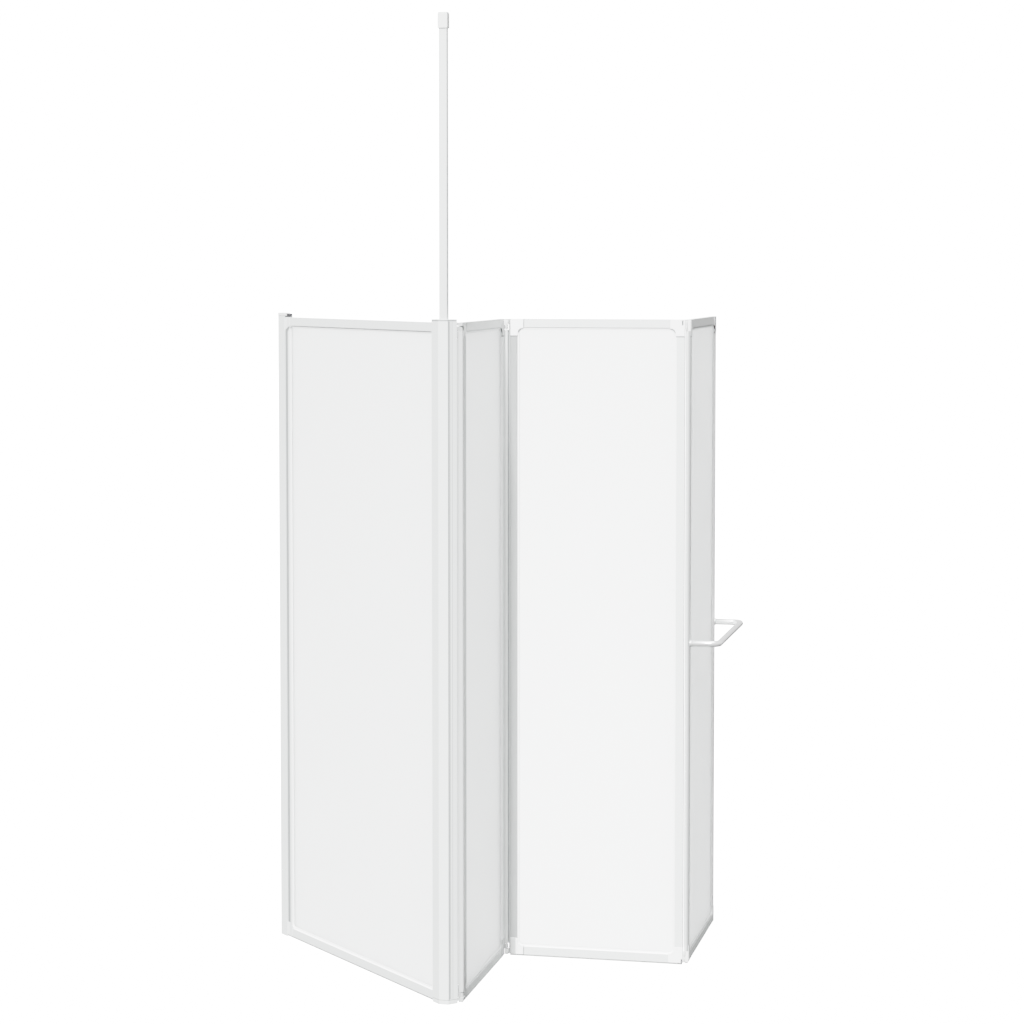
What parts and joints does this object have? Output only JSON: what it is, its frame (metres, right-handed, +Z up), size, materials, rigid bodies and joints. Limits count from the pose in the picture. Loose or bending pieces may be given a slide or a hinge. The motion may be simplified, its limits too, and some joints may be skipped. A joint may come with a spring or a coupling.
{
  "type": "folding bath screen",
  "caption": "White framed folding bath screen: fixed side panel in a wall channel, corner post with ceiling pole, hinged leaves with milky sheets, and a towel rail.",
  "frame": {"origin": "On the bath rim's surface, on the vertical axis of the ceiling pole, at the underside of the corner post's foot.", "axes": "+Z up. +X runs along the closed front of the screen, from the corner post towards the far wall. +Y runs from the corner post along the side panel to its wall, over the bath. The rest pose has the three leaves folded at 45 degrees to the front, as in the picture."},
  "size_m": [0.931, 0.7511, 2.0245],
  "materials": {
    "white_frame": "smooth white powder coat on aluminium section, slightly cool",
    "white_plastic": "satin white moulded plastic",
    "milky_sheet": "milky translucent plastic sheet, fine satin face",
    "soft_seal": "pale grey soft vinyl",
    "plain_steel": "plain stainless steel",
    "black_plastic": "black moulded plastic"
  },
  "bodies": {
    "side_panel_and_post": {"wall_channel": "white_frame", "wall_channel_cap": "white_plastic", "stop_plug": "black_plastic", "channel_screws": "plain_steel", "side_wall_stile": "white_frame", "side_post_stile": "white_frame", "side_top_rail": "white_frame", "side_bottom_rail": "white_frame", "side_sheet": "milky_sheet", "side_gasket": "soft_seal", "side_bottom_seal": "soft_seal", "corner_post": "white_frame", "post_top_cap": "white_frame", "post_foot": "white_frame", "post_seal": "soft_seal", "pivot_brackets": "white_frame", "bracket_screws": "plain_steel", "pivot_pins": "plain_steel", "pole_lock_screw": "plain_steel"},
    "ceiling_pole": {"pole_tube": "white_frame", "ceiling_cap": "white_plastic", "ceiling_pad": "soft_seal", "pole_end_plug": "white_plastic"},
    "first_leaf": {"leaf1_post_stile": "white_frame", "leaf1_valley_stile": "white_frame", "leaf1_top_rail": "white_frame", "leaf1_bottom_rail": "white_frame", "leaf1_top_corners": "white_plastic", "leaf1_bottom_corners": "white_plastic", "leaf1_sheet": "milky_sheet", "leaf1_gasket": "soft_seal", "leaf1_bottom_seal": "soft_seal", "valley_seal_bead": "soft_seal"},
    "middle_leaf": {"leaf2_valley_stile": "white_frame", "leaf2_ridge_stile": "white_frame", "leaf2_top_rail": "white_frame", "leaf2_bottom_rail": "white_frame", "leaf2_top_corners": "white_plastic", "leaf2_bottom_corners": "white_plastic", "leaf2_sheet": "milky_sheet", "leaf2_gasket": "soft_seal", "leaf2_bottom_seal": "soft_seal", "valley_lip": "soft_seal", "valley_hinge_pins": "plain_steel", "ridge_hinge_pins": "plain_steel"},
    "end_leaf": {"leaf3_ridge_stile": "white_frame", "leaf3_end_stile": "white_frame", "leaf3_top_rail": "white_frame", "leaf3_bottom_rail": "white_frame", "leaf3_top_corners": "white_plastic", "leaf3_bottom_corners": "white_plastic", "leaf3_sheet": "milky_sheet", "leaf3_gasket": "soft_seal", "leaf3_bottom_seal": "soft_seal", "end_seal": "soft_seal", "towel_rail": "white_frame", "towel_rail_flanges": "white_frame", "towel_rail_screws": "plain_steel"}
  },
  "joints": [
    {"name": "post_pivot", "type": "hinge", "parent": "side_panel_and_post", "child": "first_leaf", "pos_m": [0.0353, -0.0084, 0], "axis": [0, 0, 1], "range_deg": [-45, 33]},
    {"name": "valley_hinge", "type": "hinge", "parent": "first_leaf", "child": "middle_leaf", "pos_m": [0.31333, 0.25662, 0], "axis": [0, 0, 1], "range_deg": [-70, 90]},
    {"name": "ridge_hinge", "type": "hinge", "parent": "middle_leaf", "child": "end_leaf", "pos_m": [0.59957, -0.00911, 0], "axis": [0, 0, 1], "range_deg": [-90, 88]},
    {"name": "pole_slide", "type": "slide", "parent": "side_panel_and_post", "child": "ceiling_pole", "axis": [0, 0, 1], "range_m": [-0.35, 0.2]}
  ]
}
